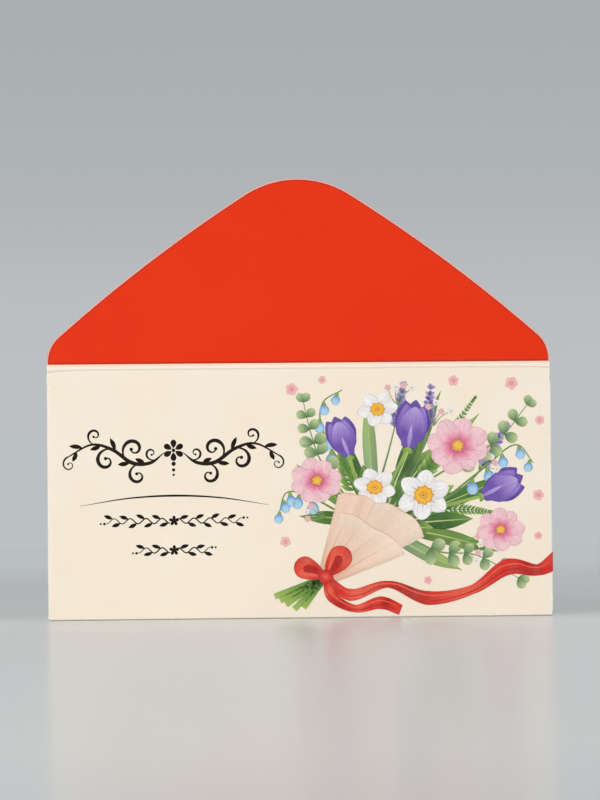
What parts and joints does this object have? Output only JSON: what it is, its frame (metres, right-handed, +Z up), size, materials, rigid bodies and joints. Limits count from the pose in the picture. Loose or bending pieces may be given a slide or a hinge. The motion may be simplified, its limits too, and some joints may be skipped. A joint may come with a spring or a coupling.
{
  "type": "money envelope",
  "caption": "Flat card pocket for banknotes with a double-scored top, a rounded flap that folds back over the pocket, glued side tabs and a thumb notch.",
  "frame": {"origin": "on the back of the pocket panel, midway between the side folds and 11 mm above the bottom fold, where the upright envelope is held", "axes": "+X to the right seen from the printed front, +Y from the printed front towards the pocket side, +Z up to the tip of the open flap"},
  "size_m": [0.165, 0.0021, 0.1438],
  "materials": {
    "cream_print": "satin laminated print",
    "red_print": "satin laminated print",
    "bare_card": "uncoated, matt",
    "dry_glue": "dry glue film"
  },
  "bodies": {
    "envelope": {"front_panel": "cream_print", "left_side_fold": "cream_print", "right_side_fold": "cream_print", "left_glue_tab": "bare_card", "right_glue_tab": "bare_card", "bottom_fold": "cream_print", "pocket_panel": "cream_print", "left_glue_line": "dry_glue", "right_glue_line": "dry_glue"},
    "spine": {"flap_spine": "cream_print"},
    "flap": {"flap": "red_print"}
  },
  "joints": [
    {"name": "lower_score_fold", "type": "hinge", "parent": "envelope", "child": "spine", "pos_m": [0, -0.0017, 0.0708], "axis": [-1, 0, 0], "range_deg": [0, 90]},
    {"name": "upper_score_fold", "type": "hinge", "parent": "spine", "child": "flap", "pos_m": [0, -0.0017, 0.0728], "axis": [-1, 0, 0], "range_deg": [0, 90]}
  ]
}
